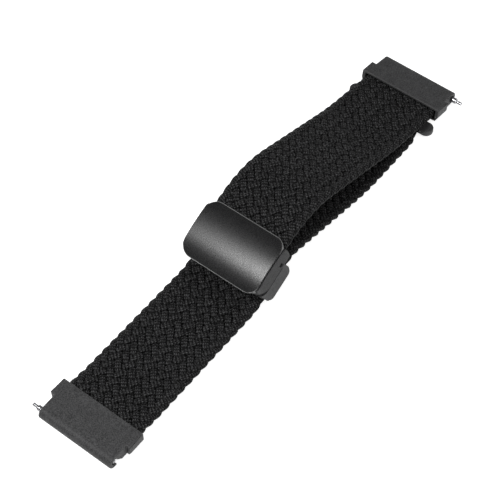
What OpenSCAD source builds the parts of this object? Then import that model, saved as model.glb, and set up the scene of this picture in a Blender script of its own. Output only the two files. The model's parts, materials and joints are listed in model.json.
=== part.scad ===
// Braided watch strap with a magnetic clasp, lying closed on a table.
// Millimetres, +Z up. The origin is on the table, midway between the fronts of the two end links.
// +X runs from end link A, which carries the long strap, to end link B, which hangs on the clasp.

/* [Strap] */
// Width of the braided strap
strap_w = 21.8; // [20.4:0.1:21.8]
// Thickness of the braided strap
strap_t = 2.4; // [2:0.1:2.5]
// Gap beside each edge of the strap wherever it runs through metal
strap_side_gap = 0.1; // [0.05:0.05:0.3]
// Gap above and below the strap wherever it runs through metal
strap_face_gap = 0.1; // [0.05:0.05:0.2]
// Bend radius of the strap where it drops from an end link to the table
link_bend_r = 20; // [12:1:30]
// Bend radius of the long strap where it climbs into the clasp
entry_bend_r = 9; // [6:0.5:12]
// Bend radius of the tail where it leaves the clasp
exit_bend_r = 6; // [4:0.5:9]
// Bend radius of the tail where it lands on the table
landing_bend_r = 50; // [30:5:80]
// Slope at which the tail comes down to the table, in degrees
tail_slope = 13; // [11:0.5:16]
// Bend radius of the short strap over the top of its arch
arch_bend_r = 22; // [16:1:28]
// Bend radius of the short strap where it levels out towards end link B
level_bend_r = 60; // [40:5:80]
// Slope at which the short strap comes down, in degrees
arch_slope = 18.5; // [16:0.5:24]
// Straight run of the short strap before end link B
level_run = 16.1; // [10:0.1:24]

/* [Tail clip] */
// Distance along the table between the tail clip and end link B
clip_room = 1.55; // [1.2:0.05:8]
// Width of the tail clip along the strap
clip_w = 3.7; // [3:0.1:4.5]
// How far the tail clip stands out past each edge of the strap
clip_reach = 2; // [1:0.1:2.8]
// Thickness of the tail clip
clip_t = 1.6; // [1.4:0.1:2]
// Thickness of the pressed end of the strap inside the tail clip
tongue_t = 0.8; // [0.5:0.1:1]

/* [End links] */
// Distance between the watch lugs that the end links fit
lug_w = 22; // [22:0.1:22.6]
// Gap between an end link and each lug
lug_gap = 0.2; // [0.1:0.05:0.4]
// Length of an end link along the strap
link_l = 10.4; // [10:0.1:12]
// Height of an end link at its strap end
link_h = 3.8; // [3.7:0.1:4.4]
// Radius of the round front of an end link
nose_r = 1.75; // [1.6:0.05:1.8]
// Length of the wings beside the strap
wing_l = 4.6; // [4.4:0.1:5]
// How far each wing stands out past the front of the end link
wing_step = 1.2; // [1:0.1:1.6]
// Height of the lower edge of the wings' upright sides
wing_foot = 1.3; // [0.8:0.1:1.6]
// Thickness of the plate that closes the underside of an end link
link_plate_t = 0.5; // [0.3:0.1:0.6]
// Tilt of end link B, whose strap end is held up by the arch, in degrees
link_b_tilt = 10; // [9.5:0.5:12]

/* [Spring bars] */
// Radius of the barrel
barrel_r = 0.75; // [0.7:0.05:0.8]
// Gap between the barrel and the bore of the end link
bar_fit = 0.07; // [0.03:0.01:0.09]
// Length of the barrel
barrel_l = 21.2; // [20.6:0.1:21.3]
// Thickness of the barrel's wall
barrel_wall = 0.15; // [0.1:0.01:0.2]
// Radius of each tip
tip_r = 0.425; // [0.35:0.025:0.425]
// Length of each tip outside the barrel
tip_l = 1.6; // [1.4:0.1:1.8]
// Gap round the moving tip where it slides in the barrel
tip_fit = 0.04; // [0.02:0.01:0.08]
// How far the release knob draws its tip in
release_travel = 1.4; // [1:0.1:1.4]
// Distance from the end of the barrel to the release knob
knob_inset = 2; // [1.8:0.1:2.4]
// Radius of the release knob
knob_r = 0.35; // [0.3:0.05:0.4]
// Length of the release knob from the middle of the bar
knob_l = 1.85; // [1.5:0.05:1.85]
// Angle of the release knob behind straight down, in degrees
knob_angle = 40; // [35:1:45]

/* [Clasp] */
// Distance from the front of end link A to the clasp's lower end
clasp_at = 56.6; // [54:0.2:58]
// Height of the clasp's lower end above the table
clasp_lift = 0.8; // [0.6:0.1:1]
// Pitch of the clasp as it lies on the strap, in degrees
clasp_pitch = 27; // [25:0.5:29]
// Length of the lower half of the clasp
base_l = 10.2; // [9.8:0.1:11]
// Thickness of the lower half's side walls, beside the strap
base_wall_t = 1; // [0.9:0.05:1.4]
// Radius of the upright corners of the lower half
base_corner_r = 2; // [1.5:0.1:2.2]
// Thickness of the web between the strap and the lower magnets
base_web_t = 0.5; // [0.4:0.05:0.8]
// Length of the upper frame
frame_l = 13; // [12.6:0.1:13.4]
// Thickness of the upper frame's cheeks, beside the strap
cheek_t = 0.7; // [0.6:0.05:0.9]
// Thickness of the upper frame's floor
floor_t = 0.5; // [0.4:0.05:0.6]
// Height of the upper frame's cheeks
cheek_h = 2.3; // [2.2:0.05:2.5]
// Gap between the two halves of the clasp
seam = 0.2; // [0.1:0.05:0.3]
// Length of the cover plate
cover_l = 15.2; // [14.6:0.1:16]
// How far the cover plate's sides are set in from the upper frame's
cover_inset = 0.3; // [0.1:0.05:0.35]
// Thickness of the cover plate
cover_t = 0.8; // [0.6:0.05:0.9]
// Height of the cover plate's side skirts at its ends
cover_edge_h = 1.2; // [1.1:0.05:1.4]
// Rise of the cover plate's crown above its ends
cover_crown = 1.1; // [0.8:0.05:1.3]
// Radius of the cover plate's corners
cover_corner_r = 3.2; // [2.5:0.1:3.5]

/* [Magnets and pins] */
// Thickness of each lower magnet
base_magnet_t = 1.8; // [1.4:0.1:2]
// Thickness of each upper magnet
top_magnet_t = 1.4; // [1.2:0.1:1.5]
// Length of each magnet along the strap
magnet_l = 3.9; // [3:0.1:4]
// Width of each magnet across the strap
magnet_w = 9.4; // [8:0.1:9.6]
// Gap round each magnet in its pocket
magnet_gap = 0.05; // [0.05:0.05:0.1]
// Thickness of the plate over the lower magnets
magnet_plate_t = 0.5; // [0.4:0.05:0.6]
// Thickness of the steel shield over the upper magnets
shield_t = 0.4; // [0.3:0.05:0.5]
// Radius of the cross pins that the straps are looped round
pin_r = 0.6; // [0.5:0.05:0.65]
// Radius of the bar that the clasp hooks on
hook_bar_r = 0.6; // [0.5:0.05:0.65]
// Gap between the hook and its bar
hook_fit = 0.05; // [0.02:0.01:0.08]
// Thickness of the hook's metal
hook_t = 0.45; // [0.4:0.05:0.45]
// Thickness of the locking plate
lock_t = 0.8; // [0.7:0.05:0.9]
// Radius of the locking plate's hinge pin
lock_pin_r = 0.22; // [0.18:0.02:0.24]
// Gap between the locking plate and its hinge pin
lock_fit = 0.03; // [0.02:0.01:0.05]
// Number of rows of teeth on the locking plate
tooth_rows = 4; // [2:1:6]

/* [Hidden] */
$fn = 64;
// Overshoot of a cut past the face that it goes through
cut = 1;
// Flats round each edge of the strap, and the largest turn between two rings of it, in degrees
edge_sides = 5;
bend_step = 5;

// End links
tube_w = lug_w - 2 * lug_gap;
wing_w = tube_w + 2 * wing_step;
bore_r = barrel_r + bar_fit;
// The strap's middle inside an end link, above the link's underside
link_strap_z = link_plate_t + strap_face_gap + strap_t / 2;
// The wings start a little before the pocket, and the cross pin sits half a strap inside it
wing_lead = 0.1;
pocket_l = wing_l - wing_lead;
link_pin_x = link_l - pocket_l + strap_face_gap + strap_t / 2;
// The same places, from the axis of the spring bar
pin_a = link_pin_x - nose_r;
pin_c = link_strap_z - nose_r;
link_pocket_h = strap_t + 2 * strap_face_gap;
link_pocket_w = strap_w + 2 * strap_side_gap;
link_foot_inset = 0.6;
link_edge = 0.25;
// Depth of the cross pins' blind holes in the wings
pin_seat = 0.5;
// Gap round each flat plate in its seat
plate_gap = 0.05;

// Spring bars
barrel_bore_r = barrel_r - barrel_wall;
plunger_fit = 0.05;
plunger_r = barrel_bore_r - plunger_fit;
// The barrel's ends are turned in over the tips, round a neck in the fixed one
lip_t = 0.2;
neck_step = 0.2;
neck_r = tip_r - neck_step;
neck_l = 0.3;
plunger_l = 2.8;
bar_l = barrel_l + 2 * tip_l;
// At rest each bar has slid along its bore until its sprung tip is just inside
tip_recess = 0.2;
bar_shift = (bar_l - tube_w) / 2 + tip_recess;
knob_y = -barrel_l / 2 + knob_inset;
knob_gap = 0.1;
// The knob's slot in the end link runs from the end face to the knob's deepest place
knob_room = 0.25;
knob_slot_w = 2 * (knob_r + knob_room);
knob_slot_end = knob_y + bar_shift + release_travel + knob_r + knob_room;
spring_fit = 0.08;
spring_r = barrel_bore_r - spring_fit;
spring_wall = 0.15;
spring_gap = 0.05;

// Clasp, in its own frame: u along the strap, y across it, v away from the wrist
base_slot_h = strap_t + 2 * strap_face_gap;
// The strap slides through the lower half, so it has more room there
slide_play = 0.1;
base_slot_w = strap_w + 2 * (strap_side_gap + slide_play);
base_w = base_slot_w + 2 * base_wall_t;
slot_top_v = lock_t + base_slot_h;
strap_v = lock_t + strap_face_gap + strap_t / 2;
base_magnet_v = slot_top_v + base_web_t;
base_h = base_magnet_v + base_magnet_t + magnet_plate_t;
frame_v = base_h + seam;
frame_top_v = frame_v + cheek_h;
frame_u = -0.2;
// The short strap is drawn in a little between the cheeks
strap_squeeze = 0.1;
strap_b_w = strap_w - 2 * strap_squeeze;
cheek_in_y = strap_b_w / 2 + strap_side_gap;
frame_w = 2 * (cheek_in_y + cheek_t);
top_magnet_v = frame_v + floor_t;
shield_v = top_magnet_v + top_magnet_t;
// The hook at the upper half's lower end, and the bar in the lower half that it turns on
hook_gap = 0.4;
hook_room = 0.1;
hook_inset = 0.2;
hook_w = 16.4;
hook_reach = 0.33;
hook_out_r = hook_bar_r + hook_fit + hook_t;
hook_u = hook_out_r + hook_inset;
hook_v = frame_v - hook_out_r;
hook_bar_seat = 2.4;
hook_bar_l = hook_w + 2 * (hook_gap + hook_bar_seat);
chamfer = 1;
// Metal between the hook's recess and the magnets, and half of that between the two magnets
hook_wall = 0.6;
magnet_mid = 0.6;
magnet_u = hook_u + hook_out_r + hook_wall;
magnet_y = magnet_mid + magnet_w / 2;
plate_lap = 0.4;
plate_reach = 1.6;
plate_u = magnet_u - plate_lap;
plate_l = magnet_l + plate_lap + plate_reach;
plate_w = 2 * (magnet_y + magnet_w / 2 + plate_lap);
shield_lap = 0.2;
// The strap's bar lies behind the end of the upper frame's floor
floor_rim = 0.5;
strap_bar_gap = 0.4;
floor_end_u = magnet_u + magnet_l + floor_rim;
strap_bar_u = floor_end_u + strap_bar_gap + strap_t / 2;
strap_bar_v = frame_v + strap_t / 2;
strap_bar_inset = 0.4;
strap_bar_l = frame_w - 2 * strap_bar_inset;
cover_w = frame_w - 2 * cover_inset;
cover_u = -1;
cover_end_v = frame_top_v + cover_edge_h;
skirt_t = 0.4;
// Radius of the cover's crown, from its chord and its rise
crown_r = (pow(cover_l / 2, 2) + pow(cover_crown, 2)) / (2 * cover_crown);
lock_pin_u = 0.8;
lock_pin_v = lock_t / 2;
lock_gap = 0.2;
lock_w = base_slot_w - 2 * lock_gap;
lock_l = base_l - lock_pin_u - lock_gap;
// The teeth reach most of the way to the strap's face
tooth_h = 0.8 * strap_face_gap;
tooth_l = 0.6;
tooth_u = 2.4;
tooth_rim = 1;
tooth_pitch = (base_l - tooth_u - tooth_rim) / tooth_rows;

// A run is [length, 0] when straight, or [radius, turn] when bent; a positive turn bends upwards
function forward(s, heading) = s[1] == 0
    ? s[0] * cos(heading)
    : sign(s[1]) * s[0] * (sin(heading + s[1]) - sin(heading));
function climb(s, heading) = s[1] == 0
    ? s[0] * sin(heading)
    : sign(s[1]) * s[0] * (cos(heading) - cos(heading + s[1]));
function heading_at(runs, i, start) = i == 0 ? start : heading_at(runs, i - 1, start) + runs[i - 1][1];
function x_at(runs, i, start, x) = i == 0
    ? x
    : x_at(runs, i - 1, start, x) + forward(runs[i - 1], heading_at(runs, i - 1, start));
function z_at(runs, i, start, z) = i == 0
    ? z
    : z_at(runs, i - 1, start, z) + climb(runs[i - 1], heading_at(runs, i - 1, start));

// How far each strap runs straight past the metal that holds it
run_on = 0.3;

// The short strap: from its bar in the clasp, over the arch and down to end link B
cover_run = cover_u + cover_l - strap_bar_u + run_on;
arch = [arch_bend_r, -(clasp_pitch + arch_slope)];
level = [level_bend_r, arch_slope - link_b_tilt];
arch_end_z = clasp_lift + strap_bar_u * sin(clasp_pitch) + strap_bar_v * cos(clasp_pitch)
    + cover_run * sin(clasp_pitch) + climb(arch, clasp_pitch);
link_b_pin_z = nose_r + pin_a * sin(link_b_tilt) + pin_c * cos(link_b_tilt);
// The straight run down the slope is as long as it takes for end link B to lie on the table
steep_run = (arch_end_z + climb(level, -arch_slope) - level_run * sin(link_b_tilt) - link_b_pin_z)
    / sin(arch_slope);
short_runs = [
    [cover_run, 0],
    arch,
    [steep_run, 0],
    level,
    [level_run, 0]
];

// Length of the whole strap as it lies, from the front of one end link to the front of the other
span = clasp_at + strap_bar_u * cos(clasp_pitch) - strap_bar_v * sin(clasp_pitch)
    + x_at(short_runs, len(short_runs), clasp_pitch, 0)
    + pin_a * cos(link_b_tilt) - pin_c * sin(link_b_tilt) + nose_r;

// Places in the world
clasp_x = clasp_at - span / 2;
link_a_x = nose_r - span / 2;
link_b_x = span / 2 - nose_r;
table_z = strap_t / 2;
clip_x = span / 2 - link_l - clip_room - clip_w / 2;
clip_gap = 0.1;
clip_wall = 1;
tongue_l = clip_w - clip_wall;
tongue_w = strap_w - 2 * clip_wall;

// A point of the clasp's frame, as [x, z] in the world
function clasp_point(u, v) = [
    clasp_x + u * cos(clasp_pitch) - v * sin(clasp_pitch),
    clasp_lift + u * sin(clasp_pitch) + v * cos(clasp_pitch)
];

// The long strap: out of end link A, along the table, through the clasp and down to the tail clip
link_out = link_l - link_pin_x + run_on;
drop = link_strap_z - table_z;
drop_turn = acos(1 - drop / (2 * link_bend_r));
clasp_in = clasp_point(0, strap_v);
clasp_out = clasp_point(base_l, strap_v);
rise_in = clasp_in[1] - table_z;
entry_run = (rise_in - climb([entry_bend_r, clasp_pitch], 0)) / sin(clasp_pitch);
entry_x = clasp_in[0] - entry_run * cos(clasp_pitch) - forward([entry_bend_r, clasp_pitch], 0);
long_start = [link_a_x + pin_a, link_strap_z];
drop_x = link_out + forward([link_bend_r, -drop_turn], 0) + forward([link_bend_r, drop_turn], -drop_turn);
flat_run = entry_x - long_start[0] - drop_x;
exit_turn = -(clasp_pitch + tail_slope);
exit_z = clasp_out[1] + run_on * sin(clasp_pitch) + climb([exit_bend_r, exit_turn], clasp_pitch);
landing = [landing_bend_r, tail_slope];
fall_run = (exit_z + climb(landing, -tail_slope) - table_z) / sin(tail_slope);
exit_x = clasp_out[0] + run_on * cos(clasp_pitch) + forward([exit_bend_r, exit_turn], clasp_pitch);
landed_x = exit_x + fall_run * cos(tail_slope) + forward(landing, -tail_slope);
tail_run = clip_x - clip_w / 2 - clip_gap - landed_x;
long_runs = [
    [link_out, 0],
    [link_bend_r, -drop_turn],
    [link_bend_r, drop_turn],
    [flat_run, 0],
    [entry_bend_r, clasp_pitch],
    [entry_run + base_l + run_on, 0],
    [exit_bend_r, exit_turn],
    [fall_run, 0],
    landing,
    [tail_run, 0]
];

short_start = clasp_point(strap_bar_u, strap_bar_v);
short_end = [
    link_b_x - pin_a * cos(link_b_tilt) + pin_c * sin(link_b_tilt),
    link_b_pin_z
];

// Places a piece in the clasp's own frame
module in_clasp() {
    translate([clasp_x, 0, clasp_lift])
        rotate([0, -clasp_pitch, 0])
            children();
}

// Places a piece on the spring bar's axis of end link A
module in_link_a() {
    translate([link_a_x, 0, nose_r])
        children();
}

// Places a piece on the spring bar's axis of end link B, which is the same part turned round
module in_link_b() {
    translate([link_b_x, 0, nose_r])
        rotate([0, 0, 180])
            rotate([0, -link_b_tilt, 0])
                children();
}

// A round bar across the strap, from y = from to y = from + length
module cross_bar(r, from, length) {
    translate([0, from + length, 0])
        rotate([90, 0, 0])
            cylinder(r = r, h = length);
}

// A block with round upright corners, from x = 0 and centred on y = 0
module round_block(l, w, h, r) {
    translate([r, -w / 2, 0])
        cube([l - 2 * r, w, h]);
    translate([0, r - w / 2, 0])
        cube([l, w - 2 * r, h]);
    for (x = [r, l - r])
        for (y = [r - w / 2, w / 2 - r])
            translate([x, y, 0])
                cylinder(r = r, h = h);
}

// The strap's cross-section as [y, t] points: flat faces and round edges
function strap_outline(w) = [
    for (side = [0, 1])
        for (k = [0 : edge_sides])
            let (turn = 180 * side - 90 + 180 * k / edge_sides)
                [(1 - 2 * side) * (w - strap_t) / 2 + strap_t / 2 * cos(turn), strap_t / 2 * sin(turn)]
];

// Stations along the runs, as [x, z, heading]: one at each end of a run, more round a bend
function stations(runs, start, heading) = concat(
    [[start[0], start[1], heading]],
    [
        for (i = [0 : len(runs) - 1])
            let (s = runs[i], n = ceil(abs(s[1]) / bend_step + 0.01), h = heading_at(runs, i, heading))
                for (j = [1 : n])
                    let (part = [s[0], s[1] * j / n])
                        [
                            x_at(runs, i, heading, start[0]) + forward(part, h),
                            z_at(runs, i, heading, start[1]) + climb(part, h),
                            h + part[1]
                        ]
    ]
);

// A whole strap, swept along its runs
module strap_along(runs, start, heading, w) {
    outline = strap_outline(w);
    path = stations(runs, start, heading);
    n = len(outline);
    last = len(path) - 1;
    points = [
        for (p = path)
            for (q = outline)
                [p[0] - q[1] * sin(p[2]), q[0], p[1] + q[1] * cos(p[2])]
    ];
    sides = [
        for (k = [0 : last - 1])
            for (i = [0 : n - 1])
                let (a = k * n + i, b = k * n + (i + 1) % n)
                    for (f = [[a, a + n, b + n], [a, b + n, b]])
                        f
    ];
    caps = [[for (i = [0 : n - 1]) i], [for (i = [n - 1 : -1 : 0]) last * n + i]];
    polyhedron(points, concat(sides, caps));
}

// The folded end of a strap, round its pin, a hair thinner than the strap
module strap_eye(at, w) {
    thinner = 0.02;
    translate([at[0], 0, at[1]])
        cross_bar(strap_t / 2 - thinner, (strap_t - w) / 2, w - strap_t);
}

// The hole that a pin leaves through a folded end
module eye_hole(at, w) {
    translate([at[0], 0, at[1]])
        cross_bar(pin_r, -w / 2 - cut, w + 2 * cut);
}

// The pressed end of the long strap, from x = from
module tongue(from, length) {
    translate([from, -tongue_w / 2, table_z - tongue_t / 2])
        cube([length, tongue_w, tongue_t]);
}

module strap_long() {
    color("#161616")
        difference() {
            union() {
                strap_along(long_runs, long_start, 0, strap_w);
                strap_eye(long_start, strap_w);
                tongue(clip_x - clip_w / 2 - 2 * clip_gap, tongue_l + 2 * clip_gap);
            }
            eye_hole(long_start, strap_w);
        }
}

module strap_short() {
    color("#141414")
        difference() {
            union() {
                strap_along(short_runs, short_start, clasp_pitch, strap_b_w);
                strap_eye(short_start, strap_b_w);
                strap_eye(short_end, strap_b_w);
            }
            eye_hole(short_start, strap_b_w);
            eye_hole(short_end, strap_b_w);
        }
}

// A flat bar with round ends, slotted for the pressed end of the strap
module tail_clip() {
    bar_w = strap_w + 2 * clip_reach;
    color("#313131")
        difference() {
            translate([clip_x, 0, table_z - clip_t / 2])
                union() {
                    translate([-clip_w / 2, (clip_w - bar_w) / 2, 0])
                        cube([clip_w, bar_w - clip_w, clip_t]);
                    for (side = [-1, 1])
                        translate([0, side * (bar_w - clip_w) / 2, 0])
                            cylinder(r = clip_w / 2, h = clip_t);
                }
            tongue(clip_x - clip_w / 2 - cut, tongue_l + cut);
        }
}

// The end link's side view, from the bar's axis: round nose, flat underside, top rising to the strap
module link_profile() {
    circle(r = nose_r);
    polygon([
        [0, -nose_r],
        [link_l - nose_r, -nose_r],
        [link_l - nose_r, link_h - nose_r],
        [0, nose_r]
    ]);
}

// The wings' end view, width along x: upright sides with a small top bevel and a drawn-in foot
module wing_section() {
    half = wing_w / 2;
    polygon([
        [-half + link_foot_inset, -nose_r],
        [half - link_foot_inset, -nose_r],
        [half, wing_foot - nose_r],
        [half, link_h - nose_r - link_edge],
        [half - link_edge, link_h - nose_r],
        [-half + link_edge, link_h - nose_r],
        [-half, link_h - nose_r - link_edge],
        [-half, wing_foot - nose_r]
    ]);
}

module end_link() {
    difference() {
        union() {
            translate([0, tube_w / 2, 0])
                rotate([90, 0, 0])
                    linear_extrude(tube_w)
                        link_profile();
            intersection() {
                translate([0, wing_w / 2, 0])
                    rotate([90, 0, 0])
                        linear_extrude(wing_w)
                            link_profile();
                translate([link_l - nose_r - wing_l, 0, 0])
                    rotate([90, 0, 90])
                        linear_extrude(wing_l)
                            wing_section();
            }
        }
        cross_bar(bore_r, -tube_w / 2 - cut, tube_w + 2 * cut);
        // The knob's slot opens the tube to its rear underside, from one end face
        rotate([0, -knob_angle, 0])
            translate([-knob_slot_w / 2, -tube_w / 2 - cut, -2 * nose_r])
                cube([knob_slot_w, knob_slot_end + tube_w / 2 + cut, 2 * nose_r]);
        // The pocket for the strap, open below for the plate and behind for the strap
        translate([link_l - nose_r - pocket_l, -link_pocket_w / 2, -nose_r - cut])
            cube([pocket_l + cut, link_pocket_w, link_plate_t + link_pocket_h + cut]);
        translate([pin_a, 0, pin_c])
            cross_bar(pin_r, -link_pocket_w / 2 - pin_seat, link_pocket_w + 2 * pin_seat);
    }
}

module link_plate() {
    translate([link_l - nose_r - pocket_l + plate_gap, plate_gap - link_pocket_w / 2, -nose_r])
        cube([pocket_l - plate_gap, link_pocket_w - 2 * plate_gap, link_plate_t]);
}

module link_pin() {
    translate([pin_a, 0, pin_c])
        cross_bar(pin_r, -link_pocket_w / 2 - pin_seat, link_pocket_w + 2 * pin_seat);
}

// The direction of the release knob, straight out from the bar's axis
module along_knob() {
    rotate([0, -knob_angle, 0])
        rotate([180, 0, 0])
            children();
}

// The bar's pieces lie about the bar's own middle, along y
module bar_barrel() {
    slot_w = 2 * (knob_r + knob_gap);
    color("#c9c9c9")
        translate([0, bar_shift, 0])
            difference() {
                cross_bar(barrel_r, -barrel_l / 2, barrel_l);
                cross_bar(barrel_bore_r, lip_t - barrel_l / 2, barrel_l - 2 * lip_t);
                cross_bar(tip_r + tip_fit, -barrel_l / 2 - cut, barrel_l / 2);
                cross_bar(neck_r, 0, barrel_l / 2 + cut);
                along_knob()
                    translate([-slot_w / 2, -knob_y - release_travel - slot_w / 2, 0])
                        cube([slot_w, release_travel + slot_w, 2 * barrel_r]);
            }
}

module bar_fixed_tip() {
    color("#dadada")
        translate([0, bar_shift, 0])
            union() {
                cross_bar(barrel_bore_r, barrel_l / 2 - lip_t - plunger_l, plunger_l);
                cross_bar(neck_r, barrel_l / 2 - lip_t, lip_t + neck_l);
                cross_bar(tip_r, barrel_l / 2 + neck_l, tip_l - neck_l);
            }
}

module bar_release_tip() {
    color("#dadada")
        translate([0, bar_shift, 0])
            difference() {
                union() {
                    cross_bar(plunger_r, lip_t - barrel_l / 2, plunger_l);
                    cross_bar(tip_r, -barrel_l / 2 - tip_l, tip_l + lip_t);
                }
                translate([0, knob_y, 0])
                    along_knob()
                        cylinder(r = knob_r, h = barrel_r);
            }
}

module bar_knob() {
    color("#dadada")
        translate([0, bar_shift + knob_y, 0])
            along_knob()
                cylinder(r = knob_r, h = knob_l);
}

// The spring fills the barrel between the two tips; it is out of sight, so it is a plain sleeve
module bar_spring() {
    from = lip_t - barrel_l / 2 + plunger_l + spring_gap;
    length = barrel_l - 2 * (lip_t + plunger_l + spring_gap);
    color("#9a9a9a")
        translate([0, bar_shift, 0])
            difference() {
                cross_bar(spring_r, from, length);
                cross_bar(spring_r - spring_wall, from - cut, length + 2 * cut);
            }
}

module base_frame() {
    pocket_h = base_magnet_t + magnet_plate_t;
    recess_w = hook_w + 2 * hook_gap;
    recess_r = hook_out_r + hook_room;
    color("#4a4a4b")
        difference() {
            round_block(base_l, base_w, base_h, base_corner_r);
            // The way through for the strap, with the locking plate as its floor
            translate([-cut, -base_slot_w / 2, -cut])
                cube([base_l + 2 * cut, base_slot_w, slot_top_v + cut]);
            // Pockets for the magnets, and a shallow seat for the plate over them
            for (side = [-1, 1])
                translate([magnet_u - magnet_gap, side * magnet_y - magnet_w / 2 - magnet_gap, base_magnet_v])
                    cube([magnet_l + 2 * magnet_gap, magnet_w + 2 * magnet_gap, pocket_h + cut]);
            translate([plate_u, -plate_w / 2, base_h - magnet_plate_t])
                cube([plate_l, plate_w, magnet_plate_t + cut]);
            // Room for the hook to turn round its bar
            translate([-cut, -recess_w / 2, base_magnet_v])
                cube([hook_u + cut, recess_w, base_h]);
            translate([hook_u, 0, hook_v])
                cross_bar(recess_r, -recess_w / 2, recess_w);
            translate([hook_u, -recess_w / 2, hook_v])
                cube([recess_r, recess_w, base_h]);
            translate([hook_u, 0, hook_v])
                cross_bar(hook_bar_r, -hook_bar_l / 2, hook_bar_l);
            // The bevel that the upper half turns over
            translate([0, -base_w / 2 - cut, base_h - chamfer])
                rotate([0, -45, 0])
                    translate([-cut, 0, 0])
                        cube([3 * cut + chamfer, base_w + 2 * cut, 2 * chamfer]);
            translate([lock_pin_u, 0, lock_pin_v])
                cross_bar(lock_pin_r, -base_w / 2 - cut, base_w + 2 * cut);
        }
}

// One magnet, on the side of the clasp given by side
module magnet(side, v, t) {
    color("#8d8f92")
        translate([magnet_u, side * magnet_y - magnet_w / 2, v])
            cube([magnet_l, magnet_w, t]);
}

module magnet_plate() {
    color("#5a5b5c")
        translate([plate_u + plate_gap, plate_gap - plate_w / 2, base_h - magnet_plate_t])
            cube([plate_l - 2 * plate_gap, plate_w - 2 * plate_gap, magnet_plate_t]);
}

module hook_bar() {
    color("#b0b1b3")
        translate([hook_u, 0, hook_v])
            cross_bar(hook_bar_r, -hook_bar_l / 2, hook_bar_l);
}

// The floor of the strap's way through, with rows of teeth that bite the strap
module locking_plate() {
    color("#3c3c3d")
        difference() {
            union() {
                translate([lock_pin_u, -lock_w / 2, 0])
                    cube([lock_l, lock_w, lock_t]);
                translate([lock_pin_u, 0, lock_pin_v])
                    cross_bar(lock_t / 2, -lock_w / 2, lock_w);
                for (i = [0 : tooth_rows - 1])
                    translate([tooth_u + i * tooth_pitch, lock_w / 2, lock_t])
                        rotate([90, 0, 0])
                            linear_extrude(lock_w)
                                polygon([[0, 0], [tooth_l, 0], [tooth_l, tooth_h]]);
            }
            translate([lock_pin_u, 0, lock_pin_v])
                cross_bar(lock_pin_r + lock_fit, -lock_w / 2 - cut, lock_w + 2 * cut);
        }
}

module lock_pin() {
    end_inset = 0.1;
    color("#b0b1b3")
        translate([lock_pin_u, 0, lock_pin_v])
            cross_bar(lock_pin_r, end_inset - base_w / 2, base_w - 2 * end_inset);
}

// One side wall of the upper frame, with its rounded tip, from y = from
module cheek(from) {
    tip = cheek_h / 2;
    wall = frame_w / 2 - cheek_in_y;
    translate([frame_u, from, frame_v])
        cube([frame_l - tip, wall, cheek_h]);
    translate([frame_u + frame_l - tip, 0, frame_v + tip])
        cross_bar(tip, from, wall);
}

module top_frame() {
    inner_w = 2 * cheek_in_y;
    end_wall_t = 0.8;
    color("#505051")
        difference() {
            union() {
                cheek(cheek_in_y);
                cheek(-frame_w / 2);
                translate([frame_u, -inner_w / 2, frame_v])
                    cube([floor_end_u - frame_u, inner_w, floor_t]);
                translate([frame_u, -inner_w / 2, frame_v])
                    cube([end_wall_t, inner_w, cheek_h]);
                // The hook: a leg down from the floor and half a ring round the bar
                translate([hook_u - hook_out_r, -hook_w / 2, hook_v])
                    cube([hook_t, hook_w, hook_out_r + floor_t]);
                intersection() {
                    translate([hook_u, 0, hook_v])
                        cross_bar(hook_out_r, -hook_w / 2, hook_w);
                    translate([hook_u - 2 * hook_out_r, -hook_w / 2, hook_v - 2 * hook_out_r])
                        cube([2 * hook_out_r + hook_reach, hook_w, 2 * hook_out_r]);
                }
            }
            translate([hook_u, 0, hook_v])
                cross_bar(hook_bar_r + hook_fit, -hook_w / 2 - cut, hook_w + 2 * cut);
            translate([strap_bar_u, 0, strap_bar_v])
                cross_bar(pin_r, -frame_w / 2 - cut, frame_w + 2 * cut);
        }
}

module magnet_shield() {
    shield_w = 2 * (magnet_y + magnet_w / 2);
    color("#a5a6a8")
        translate([magnet_u - shield_lap, -shield_w / 2, shield_v])
            cube([magnet_l + 2 * shield_lap, shield_w, shield_t]);
}

module strap_bar() {
    color("#b0b1b3")
        translate([strap_bar_u, 0, strap_bar_v])
            cross_bar(pin_r, -strap_bar_l / 2, strap_bar_l);
}

// A crowned plate with turned-down sides; its two ends are thin and open
module cover_plate() {
    crown_v = cover_end_v + cover_crown - crown_r;
    inner_w = cover_w - 2 * skirt_t;
    // Tall enough for the crown to shape its top
    block_h = 2 * (cover_edge_h + cover_crown);
    color("#2c2c2d")
        difference() {
            intersection() {
                translate([cover_u, 0, frame_top_v])
                    round_block(cover_l, cover_w, block_h, cover_corner_r);
                translate([cover_u + cover_l / 2, 0, crown_v])
                    cross_bar(crown_r, -cover_w, 2 * cover_w);
            }
            intersection() {
                translate([cover_u - cut, -inner_w / 2, frame_top_v - cut])
                    cube([cover_l + 2 * cut, inner_w, block_h]);
                translate([cover_u + cover_l / 2, 0, crown_v])
                    cross_bar(crown_r - cover_t, -cover_w, 2 * cover_w);
            }
        }
}

strap_long();
strap_short();
tail_clip();
in_link_a() color("#474748") end_link();  // end_link_a
in_link_a() color("#3a3a3b") link_plate();  // link_plate_a
in_link_a() color("#b0b1b3") link_pin();  // link_pin_a
in_link_b() color("#3b3b3c") end_link();  // end_link_b
in_link_b() color("#3a3a3b") link_plate();  // link_plate_b
in_link_b() color("#b0b1b3") link_pin();  // link_pin_b
in_link_a() bar_barrel();  // bar_barrel_a
in_link_a() bar_fixed_tip();  // bar_fixed_tip_a
in_link_a() bar_release_tip();  // bar_release_tip_a
in_link_a() bar_knob();  // bar_knob_a
in_link_a() bar_spring();  // bar_spring_a
in_link_b() bar_barrel();  // bar_barrel_b
in_link_b() bar_fixed_tip();  // bar_fixed_tip_b
in_link_b() bar_release_tip();  // bar_release_tip_b
in_link_b() bar_knob();  // bar_knob_b
in_link_b() bar_spring();  // bar_spring_b
in_clasp() base_frame();
in_clasp() magnet(1, base_magnet_v, base_magnet_t);  // base_magnet_left
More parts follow.
